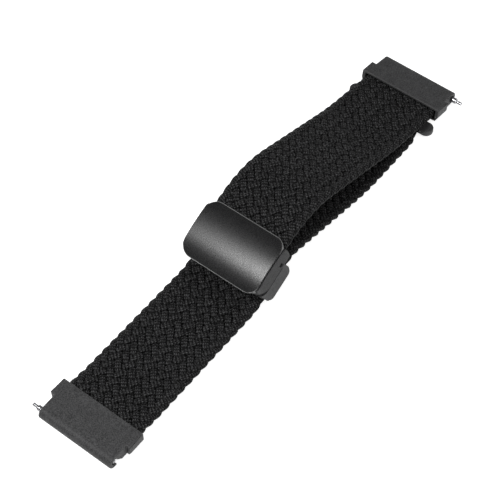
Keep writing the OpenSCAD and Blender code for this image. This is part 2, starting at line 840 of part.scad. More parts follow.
in_clasp() magnet(-1, base_magnet_v, base_magnet_t);  // base_magnet_right
in_clasp() magnet_plate();
in_clasp() hook_bar();
in_clasp() locking_plate();
in_clasp() lock_pin();
in_clasp() top_frame();
in_clasp() magnet(1, top_magnet_v, top_magnet_t);  // top_magnet_left
in_clasp() magnet(-1, top_magnet_v, top_magnet_t);  // top_magnet_right
in_clasp() magnet_shield();
in_clasp() strap_bar();
in_clasp() cover_plate();
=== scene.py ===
import json
import math

import bmesh
import bpy
from mathutils import Matrix, Vector
from mathutils.bvhtree import BVHTree


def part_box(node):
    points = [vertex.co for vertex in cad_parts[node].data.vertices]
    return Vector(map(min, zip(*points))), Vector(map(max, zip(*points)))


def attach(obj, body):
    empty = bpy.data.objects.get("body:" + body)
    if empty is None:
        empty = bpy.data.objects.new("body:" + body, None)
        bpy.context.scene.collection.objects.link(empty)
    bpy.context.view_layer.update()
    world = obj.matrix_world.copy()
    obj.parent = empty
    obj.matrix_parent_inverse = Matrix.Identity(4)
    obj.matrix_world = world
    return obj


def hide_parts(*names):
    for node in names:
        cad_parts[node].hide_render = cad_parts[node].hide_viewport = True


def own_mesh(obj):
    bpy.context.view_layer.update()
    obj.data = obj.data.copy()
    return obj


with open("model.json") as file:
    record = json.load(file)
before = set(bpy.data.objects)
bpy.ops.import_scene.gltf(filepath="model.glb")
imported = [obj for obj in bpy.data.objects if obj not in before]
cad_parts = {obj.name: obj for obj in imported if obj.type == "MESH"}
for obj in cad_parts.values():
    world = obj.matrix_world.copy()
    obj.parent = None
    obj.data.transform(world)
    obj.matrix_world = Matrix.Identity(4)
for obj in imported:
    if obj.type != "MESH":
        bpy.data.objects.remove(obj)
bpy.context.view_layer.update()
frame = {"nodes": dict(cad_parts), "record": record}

# The scene is in metres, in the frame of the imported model: +X runs from end link A to end link B, +Z is up.
MM = 0.001

# Camera: the point of the floor that it aims at, its distance, its turn, climb and roll in degrees, its lens
# and sensor in millimetres, and how near and far it sees
CAMERA_AIM = Vector((-2.08, 1.95, 0)) * MM
CAMERA_DISTANCE = 384.4 * MM
CAMERA_AZIMUTH = -50.54
CAMERA_ELEVATION = 54.33
CAMERA_ROLL = -1.72
CAMERA_LENS = 112.97
CAMERA_SENSOR = 36
CAMERA_NEAR = 0.01
CAMERA_FAR = 20

# Steps of a round corner in plan, of the side between two corners, and of a rounded edge
CORNER_STEPS = 10
SIDE_STEPS = 14
RIM_STEPS = 4
# Upper frame of the clasp: its corners' radii in plan, the rounding of its lower and upper edges, and how
# near to its side faces a point counts as on them
FRONT_CORNER = 3.2 * MM
BACK_CORNER = 1.3 * MM
SEAM = 0.25 * MM
FRAME_TOP_EDGE = 0.05 * MM
FLUSH = 0.05 * MM
# Rails on its cheeks: how much of the cover's side they leave in sight, their gap to it, how deep they are
# let into the frame, and how far past the strap's bar they keep that depth
COVER_SHOWS = 0.5 * MM
RAIL_GAP = 0.05 * MM
RAIL_ROOT = 0.3 * MM
RAIL_REACH = 0.9 * MM
# Share of the cheeks' width beside the cover that is gone at the height of its top
LEAN = 0.85
# Lower half of the clasp: its corners' radius in plan, the rounding of its foot and of its upper edges, and
# how far inside its faces the locking plate's pin ends
BASE_CORNER = 2 * MM
BASE_FOOT = 0.6 * MM
BASE_TOP_EDGE = 0.1 * MM
LOCK_PIN_INSET = 0.1 * MM
# A block that trims a piece reaches this far past the piece's flat faces
SPARE = 0.002 * MM
# Cover: its crown, thickness, corners in plan, skirt, rounded rim, and the lip that its open back end keeps
COVER_CROWN = 1.1 * MM
COVER_T = 0.8 * MM
COVER_CORNER = 3.2 * MM
COVER_SKIRT = 0.45 * MM
COVER_RIM = 0.15 * MM
COVER_LIP = 0.05 * MM

# Softened edges: faces that meet at less than the flat angle count as one, and edges past the sharp angle are
# rounded in a few steps. Both angles are in degrees
FLAT_ANGLE = 0.5
SHARP_ANGLE = 30
ROUNDING_STEPS = 3
# Points of a solid, and of a cut piece, that lie nearer than this are one
SAME_POINT = 1e-4 * MM
SAME_CUT_POINT = 1e-3 * MM
# The narrow seat round a link's plate, whose edges stay sharp
PLATE_SEAT = 0.6 * MM
# Springs in the spring bars: the wire, the turns, and the steps of a turn and of the wire's section
COIL_WIRE = 0.12 * MM
COIL_TURNS = 14
TURN_STEPS = 16
WIRE_STEPS = 8

# Floor: its paleness, half its width, and the share of white that camera and reflections see on it without
# light, so that its shadow stays faint. It lies a little under the feet, so that no two faces share a plane
FLOOR_SHADE = 0.82
FLOOR_HALF = 3
FLOOR_GLOW = 0.78
FLOOR_GAP = 0.01 * MM
# World: its light on the object, and for camera and reflections the sine of the height by which its white has
# turned grey, and by how much
WORLD_LIGHT = 0.26
GREY_FROM = 0.2
GREY_BY = 0.75

# Straps: their sizes and the bends in which they lie, as the solids have them. Slope, tilt and pitch are in
# degrees
STRAP_T = 2.4 * MM
LONG_W = 21.8 * MM
SHORT_W = 21.6 * MM
RUN_ON = 0.3 * MM
LINK_BEND = 20 * MM
ENTRY_BEND = 9 * MM
EXIT_BEND = 6 * MM
LANDING_BEND = 50 * MM
TAIL_SLOPE = 13
ARCH_BEND = 22 * MM
LEVEL_BEND = 60 * MM
ARCH_SLOPE = 18.5
LEVEL_RUN = 16.1 * MM
LINK_B_TILT = 10
CLASP_PITCH = 27
# The long strap's middle line passes this far above the locking plate's pin
STRAP_OVER_LOCK_PIN = 1.7 * MM
# Pressed end of the long strap inside the tail clip
TONGUE_L = 2.8 * MM
TONGUE_T = 0.76 * MM
TONGUE_W = 19.6 * MM
PRESS_L = 4.5 * MM

# Braid: its strands show three yarns on each side, and go over two and under two. For one crossing a strand
# runs half a plait pitch along the strap and one row spacing across it
STRANDS = 21
YARNS_ROUND = 6
YARN_GROOVE = 0.06
PLAIT_PITCH = 2.8 * MM
ROW_SPACING = 1.045 * MM
STRAND_W = 1.82 * MM
STRAND_T = 1.1 * MM
SWING = 0.6 * MM
# A strand's turn at the strap's edge is squarer with a higher power. It climbs to its first float over this
# many crossings
TURN_POWER = 4
EDGE_RUN = 1.5
# Steps along a strand and along a strap's middle line
RING_STEP = 0.45 * MM
GUIDE_STEP = 0.25 * MM
# Folded eye round a pin: how far the middle of its cloth is from the pin's axis, its strands' share of their
# full thickness, and the steps of its round
EYE_RADIUS = 0.9 * MM
EYE_THINNESS = 0.5
EYE_STEPS = 20

# How much less rough a coat is along its marked rims, which are rubbed and carry a painted highlight, and the
# paleness from which a rim counts as bare metal
RIM_POLISH = 0.3
BARE_FROM = 0.2
# Depth of the lines that turning leaves on bright metal
LINE_DEPTH = 0.004 * MM

# Kinds of sockets of a node group
FLOAT = "NodeSocketFloat"
COLOR = "NodeSocketColor"
GEOMETRY = "NodeSocketGeometry"

along_clasp = Vector((math.cos(math.radians(CLASP_PITCH)), 0, math.sin(math.radians(CLASP_PITCH))))
up_clasp = Vector((-along_clasp.z, 0, along_clasp.x))


class Wire:
    """An output of a node. Arithmetic on it adds Math nodes to its tree."""

    def __init__(self, tree, socket):
        self.tree = tree
        self.socket = socket

    def math(self, operation, *others):
        """What a Math node makes of the wire and other values."""
        made = self.tree.nodes.new("ShaderNodeMath")
        made.operation = operation
        for socket, value in zip(made.inputs, (self, *others)):
            feed(self.tree, socket, value)
        return Wire(self.tree, made.outputs[0])

    def __add__(self, other):
        return self.math("ADD", other)

    def __radd__(self, other):
        return self.math("ADD", other)

    def __sub__(self, other):
        return self.math("SUBTRACT", other)

    def __rsub__(self, other):
        return (self * -1).math("ADD", other)

    def __mul__(self, other):
        return self.math("MULTIPLY", other)

    def __truediv__(self, other):
        return self.math("DIVIDE", other)

    def __rtruediv__(self, other):
        made = place(self.tree, "ShaderNodeMath", {0: other, 1: self}, operation="DIVIDE")
        return out(made)

    def __pow__(self, other):
        return self.math("POWER", other)

    def clamp(self):
        """The wire kept between 0 and 1."""
        return self.math("MAXIMUM", 0).math("MINIMUM", 1)


def feed(tree, socket, value):
    """Links a wire to an input, or sets the input to a plain value."""
    if isinstance(value, Wire):
        tree.links.new(value.socket, socket)
    else:
        socket.default_value = value


def place(tree, kind, feeds=None, **settings):
    """Adds a node with its settings, and feeds its inputs by name or number."""
    made = tree.nodes.new(kind)
    for name, value in settings.items():
        setattr(made, name, value)
    for name, value in (feeds or {}).items():
        feed(tree, made.inputs[name], value)
    return made


def out(made, name=0):
    """A node's output as a wire."""
    return Wire(made.id_data, made.outputs[name])


def vector(tree, **parts):
    """A vector from its X, Y and Z."""
    return out(place(tree, "ShaderNodeCombineXYZ", parts))


def split(tree, value):
    """A node with a vector's X, Y and Z as its outputs."""
    return place(tree, "ShaderNodeSeparateXYZ", {0: value})


def scaled(tree, value, by):
    """A vector or a color times a number."""
    return out(place(tree, "ShaderNodeVectorMath", {0: value, "Scale": by}, operation="SCALE"))


def new_tree(name, kind, inputs, outputs):
    """A node group with named inputs and outputs, and its input wires by name."""
    tree = bpy.data.node_groups.new(name, kind)
    for label, socket, default in inputs:
        made = tree.interface.new_socket(label, in_out="INPUT", socket_type=socket)
        if default is not None:
            made.default_value = default
    for label, socket in outputs:
        tree.interface.new_socket(label, in_out="OUTPUT", socket_type=socket)
    source = tree.nodes.new("NodeGroupInput")
    given = {label: out(source, label) for label, socket, default in inputs}
    return tree, given, tree.nodes.new("NodeGroupOutput")


def middle(node):
    """The middle of a CAD node's box."""
    low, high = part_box(node)
    return (low + high) / 2


def reach(node, direction):
    """How far a CAD node reaches along a direction: its least and greatest distance."""
    distances = [v.co.dot(direction) for v in frame["nodes"][node].data.vertices]
    return min(distances), max(distances)


# Straps' middle lines

def advance(spot, run):
    """Moves (x, z, heading) along a run: (length, 0) straight, or (radius, turn) bent, with up positive."""
    x, z, heading = spot
    size, turn = run
    start = math.radians(heading)
    if turn == 0:
        return x + size * math.cos(start), z + size * math.sin(start), heading
    end = math.radians(heading + turn)
    side = math.copysign(size, turn)
    x += side * (math.sin(end) - math.sin(start))
    z += side * (math.cos(start) - math.cos(end))
    return x, z, heading + turn


def follow(spot, runs):
    """Where a line of runs ends."""
    for run in runs:
        spot = advance(spot, run)
    return spot


def long_runs():
    """The long strap: out of end link A, along the table, through the clasp and down to the tail clip."""
    pin = middle("link_pin_a")
    lock_pin = middle("lock_pin")
    base_in, base_out = reach("base_frame", along_clasp)
    table = STRAP_T / 2
    link_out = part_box("end_link_a")[1].x + RUN_ON - pin.x
    drop = math.degrees(math.acos(1 - (pin.z - table) / (2 * LINK_BEND)))
    entry = lock_pin + up_clasp * STRAP_OVER_LOCK_PIN
    entry += along_clasp * (base_in - entry.dot(along_clasp))
    bend_x, bend_z, _ = advance((0, 0, 0), (ENTRY_BEND, CLASP_PITCH))
    climb = (entry.z - table - bend_z) / along_clasp.z
    runs = [(link_out, 0), (LINK_BEND, -drop), (LINK_BEND, drop)]
    spot = follow((pin.x, pin.z, 0), runs)
    runs.append((entry.x - climb * along_clasp.x - bend_x - spot[0], 0))
    runs.append((ENTRY_BEND, CLASP_PITCH))
    runs.append((climb + base_out - base_in + RUN_ON, 0))
    runs.append((EXIT_BEND, -CLASP_PITCH - TAIL_SLOPE))
    spot = follow((pin.x, pin.z, 0), runs)
    landing_x, landing_z, _ = advance((0, 0, -TAIL_SLOPE), (LANDING_BEND, TAIL_SLOPE))
    fall = (spot[1] + landing_z - table) / math.sin(math.radians(TAIL_SLOPE))
    landed = spot[0] + fall * math.cos(math.radians(TAIL_SLOPE)) + landing_x
    clip_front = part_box("tail_clip")[0].x
    runs += [(fall, 0), (LANDING_BEND, TAIL_SLOPE), (clip_front + TONGUE_L - landed, 0)]
    runs[0] = (link_out - EYE_RADIUS, 0)
    return runs, (pin.x + EYE_RADIUS, pin.z), 0


def short_runs():
    """The short strap: from its bar in the clasp, over the arch and down to end link B."""
    bar = middle("strap_bar")
    pin = middle("link_pin_b")
    cover_out = reach("cover_plate", along_clasp)[1]
    runs = [(cover_out - bar.dot(along_clasp) + RUN_ON, 0), (ARCH_BEND, -CLASP_PITCH - ARCH_SLOPE)]
    spot = follow((bar.x, bar.z, CLASP_PITCH), runs)
    level = (LEVEL_BEND, ARCH_SLOPE - LINK_B_TILT)
    level_z = advance((0, 0, -ARCH_SLOPE), level)[1]
    last_z = LEVEL_RUN * math.sin(math.radians(LINK_B_TILT))
    steep = (spot[1] + level_z - last_z - pin.z) / math.sin(math.radians(ARCH_SLOPE))
    runs += [(steep, 0), level, (LEVEL_RUN - EYE_RADIUS, 0)]
    runs[0] = (runs[0][0] - EYE_RADIUS, 0)
    start = bar + along_clasp * EYE_RADIUS
    return runs, (start.x, start.z), CLASP_PITCH


def guide_mesh(name, runs, start, heading):
    """A line of short edges along a strap's middle."""
    x, z = start
    points = [(x, 0, z)]
    for size, turn in runs:
        length = size if turn == 0 else size * math.radians(abs(turn))
        steps = math.ceil(length / GUIDE_STEP)
        for _ in range(steps):
            half_turned = math.radians(heading + turn / steps / 2)
            x += length / steps * math.cos(half_turned)
            z += length / steps * math.sin(half_turned)
            heading += turn / steps
            points.append((x, 0, z))
    mesh = bpy.data.meshes.new(name)
    mesh.from_pydata(points, [(i, i + 1) for i in range(len(points) - 1)], [])
    return mesh


# Node trees of braid and coil

def noted(tree, shape, name, value):
    """A shape with a value stored at its points, in millimetres where it is a length."""
    made = place(
        tree, "GeometryNodeStoreNamedAttribute", {"Geometry": shape, "Name": name, "Value": value},
        data_type="FLOAT", domain="POINT",
    )
    return out(made)


def circle(tree, steps, radius):
    """A round line about the origin."""
    return out(place(
        tree, "GeometryNodeCurvePrimitiveCircle", {"Resolution": steps, "Radius": radius}, mode="RADIUS"
    ))


def swept(tree, line, section, caps):
    """A section drawn along a line."""
    made = place(
        tree, "GeometryNodeCurveToMesh", {"Curve": line, "Profile Curve": section, "Fill Caps": caps}
    )
    return out(made)


def close_tree(tree, result, label, shape, material):
    """Ends a tree: its shape smooth, real and with its material."""
    smooth = place(tree, "GeometryNodeSetShadeSmooth", {"Geometry": shape})
    real = place(tree, "GeometryNodeRealizeInstances", {"Geometry": out(smooth)})
    finished = place(tree, "GeometryNodeSetMaterial", {"Geometry": out(real), "Material": material})
    feed(tree, result.inputs[label], out(finished))
    return tree


def eye_loop(tree, given, profile, spacing):
    """The strands that lie round a pin, side by side along Y, about the origin."""
    ring = circle(tree, EYE_STEPS, given["Eye Radius"])
    level = place(tree, "GeometryNodeSetCurveNormal", {0: ring}, mode="Z_UP")
    walked = out(place(tree, "GeometryNodeSplineParameter"), "Length") / MM
    narrow = spacing / given["Strand Width"]
    thin = place(
        tree, "GeometryNodeTransform",
        {
            "Geometry": profile,
            "Rotation": (0, 0, math.pi / 2),
            "Scale": vector(tree, X=narrow, Y=EYE_THINNESS, Z=1.0),
        },
    )
    loop = swept(tree, noted(tree, out(level), "along", walked), out(thin), False)
    upright = place(tree, "GeometryNodeTransform", {"Geometry": loop, "Rotation": (math.pi / 2, 0, 0)})
    side = (given["Strands"] - 1) * spacing * -0.5
    row = place(
        tree, "GeometryNodeMeshLine",
        {
            "Count": given["Strands"],
            "Start Location": vector(tree, Y=side),
            "Offset": vector(tree, Y=spacing),
        },
        mode="OFFSET",
    )
    set_out = place(tree, "GeometryNodeInstanceOnPoints", {"Points": out(row), "Instance": out(upright)})
    return out(place(tree, "GeometryNodeRealizeInstances", {"Geometry": out(set_out)}))


def eye_place(tree, guide, radius, length, side):
    """The axis of the pin just beyond one end of the guide."""
    end = place(tree, "GeometryNodeSampleCurve", {"Curves": guide, "Length": length}, mode="LENGTH")
    beyond = scaled(tree, out(end, "Tangent"), radius * side)
    return out(place(tree, "ShaderNodeVectorMath", {0: out(end, "Position"), 1: beyond}, operation="ADD"))


def braid_tree():
    """Geometry nodes: a flat braid, each strand over two and under two, laid along a guide line."""
    tree, given, result = new_tree(
        "Flat Braid",
        "GeometryNodeTree",
        [
            ("Guide", GEOMETRY, None),
            ("Strands", "NodeSocketInt", STRANDS),
            ("Plait Pitch", FLOAT, PLAIT_PITCH),
            ("Row Spacing", FLOAT, ROW_SPACING),
            ("Half Width", FLOAT, LONG_W / 2),
            ("Strand Width", FLOAT, STRAND_W),
            ("Strand Thickness", FLOAT, STRAND_T),
            ("Swing", FLOAT, SWING),
            ("Face", FLOAT, 1),
            ("Ring Step", FLOAT, RING_STEP),
            ("Yarn Groove", FLOAT, YARN_GROOVE),
            ("Eye Radius", FLOAT, EYE_RADIUS),
            ("Eye At End", "NodeSocketBool", False),
            ("Press Length", FLOAT, 0),
            ("Pressed Run", FLOAT, 0),
            ("Pressed Thickness", FLOAT, 1),
            ("Pressed Width", FLOAT, 1),
            ("Material", "NodeSocketMaterial", None),
        ],
        [("Strap", GEOMETRY)],
    )
    guide = out(place(tree, "GeometryNodeMeshToCurve", {0: given["Guide"]}))
    length = out(place(tree, "GeometryNodeCurveLength", {0: guide}))
    line = place(
        tree, "GeometryNodeMeshLine", {"Resolution": given["Ring Step"], "Offset": vector(tree, X=length)},
        mode="END_POINTS", count_mode="RESOLUTION",
    )
    strands = place(
        tree, "GeometryNodeDuplicateElements",
        {"Geometry": out(place(tree, "GeometryNodeMeshToCurve", {0: out(line)})), "Amount": given["Strands"]},
        domain="SPLINE",
    )
    number = out(strands, "Duplicate Index")
    u = out(split(tree, out(place(tree, "GeometryNodeInputPosition"))), "X")

    # Crossings that the strand has passed, and how many it is away from its nearest turn at an edge
    passed = u / (given["Plait Pitch"] / 2) + number * 2
    turn = (passed / given["Strands"]).math("ROUND")
    away = passed - turn * given["Strands"]
    far = away.math("ABSOLUTE")
    edge = turn.math("FLOORED_MODULO", 2) * 2 - 1

    # Across: a zigzag from edge to edge with rounded turns
    full = given["Strands"] * given["Row Spacing"] / 2
    roundness = (full - given["Half Width"] + given["Strand Width"] / 2) / given["Row Spacing"]
    inward = (far ** TURN_POWER + roundness ** TURN_POWER) ** (1 / TURN_POWER)
    y = edge * (full - given["Row Spacing"] * inward)

    # Up and down: over two and under two with flattened tops, and from over to under round each edge
    round_edge = (far.math("MINIMUM", EDGE_RUN) * (math.pi / 2 / EDGE_RUN)).math("SINE")
    weave = ((far - EDGE_RUN).math("MAXIMUM", 0) * (math.pi / 2)).math("COSINE")
    flattened = weave * (1.5 - weave * weave * 0.5)
    z = away.math("SIGN") * round_edge * flattened * given["Swing"] * given["Face"] * -1

    moved = place(
        tree, "GeometryNodeSetPosition", {"Geometry": out(strands), "Position": vector(tree, X=u, Y=y, Z=z)}
    )
    level = place(tree, "GeometryNodeSetCurveNormal", {0: out(moved)}, mode="Z_UP")
    paths = noted(tree, noted(tree, out(level), "along", u / MM), "strand", number)

    # A strand's section: a flat oval with three yarns showing on each side
    angle = out(place(tree, "GeometryNodeInputIndex")) * (math.pi / YARNS_ROUND)
    lobes = 1 - (angle * YARNS_ROUND).math("COSINE") * given["Yarn Groove"]
    across = angle.math("COSINE")
    section = place(
        tree, "GeometryNodeSetPosition",
        {
            "Geometry": out(place(tree, "GeometryNodeMeshCircle", {"Vertices": 2 * YARNS_ROUND})),
            "Position": vector(
                tree,
                X=across * lobes * given["Strand Width"] / 2,
                Y=angle.math("SINE") * lobes * given["Strand Thickness"] / 2,
            ),
        },
    )
    rim = out(place(tree, "GeometryNodeMeshToCurve", {0: out(section)}))
    profile = noted(tree, rim, "across", across * given["Strand Width"] / 2 / MM)
    flat = swept(tree, paths, profile, True)

    # The end of the strap is pressed flat, and the whole is bent along the guide
    spot = split(tree, out(place(tree, "GeometryNodeInputPosition")))
    left = length - out(spot, "X") - given["Pressed Run"]
    press = out(place(
        tree, "ShaderNodeMapRange",
        {"Value": left, "From Min": given["Press Length"], "From Max": 0.0, "To Min": 0.0, "To Max": 1.0},
        interpolation_type="SMOOTHSTEP",
    ))
    thin = 1 + press * (given["Pressed Thickness"] - 1)
    narrow = 1 + press * (given["Pressed Width"] - 1)
    laid = place(tree, "GeometryNodeSampleCurve", {"Curves": guide, "Length": out(spot, "X")}, mode="LENGTH")
    here = split(tree, out(laid, "Position"))
    heading = split(tree, out(laid, "Tangent"))
    lift = out(spot, "Z") * thin
    bent = place(
        tree, "GeometryNodeSetPosition",
        {
            "Geometry": flat,
            "Position": vector(
                tree,
                X=out(here, "X") - out(heading, "Z") * lift,
                Y=out(spot, "Y") * narrow,
                Z=out(here, "Z") + out(heading, "X") * lift,
            ),
        },
    )

    # A loop at the start, and one at the end where the strap has one
    loop = eye_loop(tree, given, profile, given["Half Width"] * 2 / given["Strands"])
    loops = []
    for at, side in ((0.0, -1), (length, 1)):
        pin = eye_place(tree, guide, given["Eye Radius"], at, side)
        loops.append(out(place(tree, "GeometryNodeSetPosition", {"Geometry": loop, "Offset": pin})))
    chosen = place(
        tree, "GeometryNodeSwitch", {"Switch": given["Eye At End"], "True": loops[1]}, input_type="GEOMETRY"
    )
    joined = place(tree, "GeometryNodeJoinGeometry")
    for part in (out(bent), loops[0], out(chosen)):
        tree.links.new(part.socket, joined.inputs[0])
    return close_tree(tree, result, "Strap", out(joined), given["Material"])


def coil_tree():
    """Geometry nodes: a coil spring along Y, as long and as wide as asked."""
    tree, given, result = new_tree(
        "Coil Spring",
        "GeometryNodeTree",
        [
            ("Geometry", GEOMETRY, None),
            ("Centre", "NodeSocketVector", None),
            ("Length", FLOAT, 1),
            ("Radius", FLOAT, 1),
            ("Wire", FLOAT, COIL_WIRE),
            ("Turns", FLOAT, COIL_TURNS),
            ("Material", "NodeSocketMaterial", None),
        ],
        [("Coil", GEOMETRY)],
    )
    radius = given["Radius"] - given["Wire"] / 2
    run = given["Length"] - given["Wire"]
    line = place(tree, "GeometryNodeCurveSpiral", {
        "Resolution": TURN_STEPS,
        "Rotations": given["Turns"],
        "Start Radius": radius,
        "End Radius": radius,
        "Height": run,
    })
    wire = circle(tree, WIRE_STEPS, given["Wire"] / 2)
    centred = place(tree, "GeometryNodeTransform", {
        "Geometry": swept(tree, out(line), wire, True), "Translation": vector(tree, Z=run * -0.5),
    })
    laid = place(tree, "GeometryNodeTransform", {
        "Geometry": out(centred), "Translation": given["Centre"], "Rotation": (math.pi / 2, 0, 0),
    })
    return close_tree(tree, result, "Coil", out(laid), given["Material"])


# Objects

def link_object(name, data):
    """A mesh, a lamp or a camera as an object in the scene."""
    made = bpy.data.objects.new(name, data)
    bpy.context.scene.collection.objects.link(made)
    return made


def finished_mesh(piece):
    """Turns a piece's evaluated modifiers into its plain mesh."""
    graph = bpy.context.evaluated_depsgraph_get()
    mesh = bpy.data.meshes.new_from_object(piece.evaluated_get(graph))
    piece.modifiers.clear()
    piece.data = mesh
    return piece


def grown(name, mesh, tree, values):
    """A piece that a node tree makes from a mesh, with the tree's inputs set by name."""
    piece = link_object(name, mesh)
    modifier = piece.modifiers.new("Grow", "NODES")
    modifier.node_group = tree
    for item in tree.interface.items_tree:
        if item.in_out == "INPUT" and item.name in values:
            modifier[item.identifier] = values[item.name]
    return finished_mesh(piece)


# Shapes of metal pieces

def merged(node):
    """A CAD node's mesh with its loose triangles joined."""
    bm = bmesh.new()
    bm.from_mesh(frame["nodes"][node].data)
    bmesh.ops.remove_doubles(bm, verts=bm.verts, dist=SAME_POINT)
    return bm


def as_mesh(bm, name):
    """A bmesh as a mesh of its own."""
    mesh = bpy.data.meshes.new(name)
    bm.to_mesh(mesh)
    bm.free()
    return mesh


def quarter(steps):
    """The cosine and sine of the angles from 0 to 90 degrees, in even steps."""
    angles = [math.radians(90 * step / steps) for step in range(steps + 1)]
    return [(math.cos(angle), math.sin(angle)) for angle in angles]


def plan_rows(front, back, half, front_radius, back_radius):
    """One side of a plan with rounded corners, front to back: place along, half width and outward normal."""
    rows = []
    for radius, end, hand in ((front_radius, front, -1), (back_radius, back, 1)):
        corner = []
        for cosine, sine in quarter(CORNER_STEPS):
            along = end - hand * radius + radius * hand * cosine
            corner.append((along, half - radius * (1 - sine), hand * cosine, sine))
        rows.append(corner if hand == -1 else corner[::-1])
    start, stop = rows[0][-1][0], rows[1][0][0]
    straight = [(start + (stop - start) * i / SIDE_STEPS, half, 0, 1) for i in range(1, SIDE_STEPS)]
    return rows[0] + straight + rows[1]


def plan_ring(bm, rows, inset, height):
    """A ring of points round the clasp's plan, set in by a distance, at a height that may vary along it."""
    ring = []
    for hand in (1, -1):
        for u, half, n_along, n_side in rows if hand == 1 else reversed(rows):
            spot = along_clasp * (u - inset * n_along) + up_clasp * height(u)
            ring.append(bm.verts.new(spot + Vector((0, hand * (half - inset * n_side), 0))))
    return ring


def wall(bm, first, second):
    """The faces between two rings, in the rings' order."""
    count = len(first)
    return [
        bm.faces.new((first[i], first[(i + 1) % count], second[(i + 1) % count], second[i]))
        for i in range(count)
    ]


def lid(bm, ring):
    """Closes a ring with strips across the plan."""
    count = len(ring)
    for i in range(count // 2 - 1):
        bm.faces.new((ring[i], ring[i + 1], ring[count - 2 - i], ring[count - 1 - i]))


def round_block(node, half, corners, low_edge, high_edge, inset=0):
    """A block as long and high as a node, with upright corners and its lower and upper edges rounded."""
    front, back = reach(node, along_clasp)
    low, high = reach(node, up_clasp)
    rows = plan_rows(front, back, half, *corners)
    profile = []
    for cosine, sine in quarter(RIM_STEPS):
        profile.append((low_edge * (1 - sine), low - SPARE + low_edge * (1 - cosine)))
    for cosine, sine in quarter(RIM_STEPS):
        profile.append((high_edge * (1 - cosine), high + SPARE - high_edge * (1 - sine)))
    bm = bmesh.new()
    rings = [plan_ring(bm, rows, inset + in_by, lambda u, v=v: v) for in_by, v in profile]
    for first, second in zip(rings, rings[1:]):
        wall(bm, first, second)
    lid(bm, rings[0])
    lid(bm, rings[-1])
    bmesh.ops.recalc_face_normals(bm, faces=bm.faces)
    return as_mesh(bm, "round_block")


def combined(bm, block_mesh, operation):
    """A mesh cut to a block, less a block or joined with one."""
    piece = link_object("piece", as_mesh(bm, "piece"))
    block = link_object("block", block_mesh)
    change = piece.modifiers.new("Combine", "BOOLEAN")
    change.operation = operation
    change.object = block
    change.solver = "EXACT"
    finished_mesh(piece)
    kept = bmesh.new()
    kept.from_mesh(piece.data)
    bpy.data.objects.remove(block)
    bpy.data.objects.remove(piece)
    bmesh.ops.remove_doubles(kept, verts=kept.verts, dist=SAME_CUT_POINT)
    return kept


def cover_top(u):
    """Height of the cover's crowned top at a place along the clasp."""
    front, back = reach("cover_plate", along_clasp)
    half_length = (back - front) / 2
    crown_radius = (half_length ** 2 + COVER_CROWN ** 2) / (2 * COVER_CROWN)
    off = u - front - half_length
    return reach("cover_plate", up_clasp)[1] - crown_radius + math.sqrt(crown_radius ** 2 - off ** 2)


def prism(rows, low, high, inset=0):
    """An upright block over a plan, between two heights that may vary along it."""
    bm = bmesh.new()
    lower = plan_ring(bm, rows, inset, low)
    upper = plan_ring(bm, rows, inset, high)
    wall(bm, lower, upper)
    lid(bm, lower)
    lid(bm, upper)
    bmesh.ops.recalc_face_normals(bm, faces=bm.faces)
    return bm


def frame_rails(side):
    """The upper frame's two rails: they rise beside the cover and are round at their back ends."""
    front, back = reach("top_frame", along_clasp)
    bar = middle("strap_bar")
    bar_u, bar_v = bar.dot(along_clasp), bar.dot(up_clasp)
    top_of_frame = reach("top_frame", up_clasp)[1]
    round_from = back - BACK_CORNER
    end_rise = cover_top(round_from) - COVER_SHOWS - bar_v

    def low(u):
        return top_of_frame - RAIL_ROOT if u < bar_u + RAIL_REACH else bar_v

    def high(u):
        if u < round_from:
            return cover_top(u) - COVER_SHOWS
        return bar_v + end_rise * math.sqrt(max(0, 1 - ((u - round_from) / BACK_CORNER) ** 2)) + SPARE

    block = prism(plan_rows(front, back, side, FRONT_CORNER, BACK_CORNER), low, high)
    cover_front, cover_back = reach("cover_plate", along_clasp)
    cover_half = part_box("cover_plate")[1].y
    cover_plan = plan_rows(cover_front, cover_back, cover_half, COVER_CORNER, COVER_CORNER)
    strap_plan = plan_rows(cover_front, cover_back, SHORT_W / 2, COVER_SKIRT, COVER_SKIRT)
    for plan in (cover_plan, strap_plan):
        cutter = prism(plan, lambda u: bar_v - COVER_T, lambda u: cover_top(u) + COVER_T, -RAIL_GAP)
        block = combined(block, as_mesh(cutter, "cutter"), "DIFFERENCE")
    return as_mesh(block, "rails")


def frame_shape():
    """The upper frame: its cheeks meet the lower half's sides, and rails on them rise beside the cover."""
    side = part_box("base_frame")[1].y
    bm = merged("top_frame")
    outermost = max(v.co.y for v in bm.verts)
    for v in bm.verts:
        if abs(v.co.y) > outermost - FLUSH:
            v.co.y = math.copysign(side + SPARE, v.co.y)
    block = round_block("top_frame", side, (FRONT_CORNER, BACK_CORNER), SEAM, FRAME_TOP_EDGE)
    whole = combined(combined(bm, block, "INTERSECT"), frame_rails(side), "UNION")

    # From the seam up, the sides lean in towards the cover
    seam = reach("base_frame", up_clasp)[1] + SEAM
    summit = cover_top(middle("cover_plate").dot(along_clasp))
    cover_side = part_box("cover_plate")[1].y + RAIL_GAP
    for v in whole.verts:
        risen = (v.co.dot(up_clasp) - seam) / (summit - seam)
        outside = abs(v.co.y) - cover_side
        if outside > 0 and risen > 0:
            v.co.y = math.copysign(cover_side + outside * (1 - risen * LEAN), v.co.y)
    return whole


def base_shape(node="base_frame", inset=0):
    """A piece of the lower half, trimmed to the half's round corners and round lower edges."""
    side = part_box("base_frame")[1].y
    block = round_block("base_frame", side, (BASE_CORNER, BASE_CORNER), BASE_FOOT, BASE_TOP_EDGE, inset)
    return combined(merged(node), block, "INTERSECT")


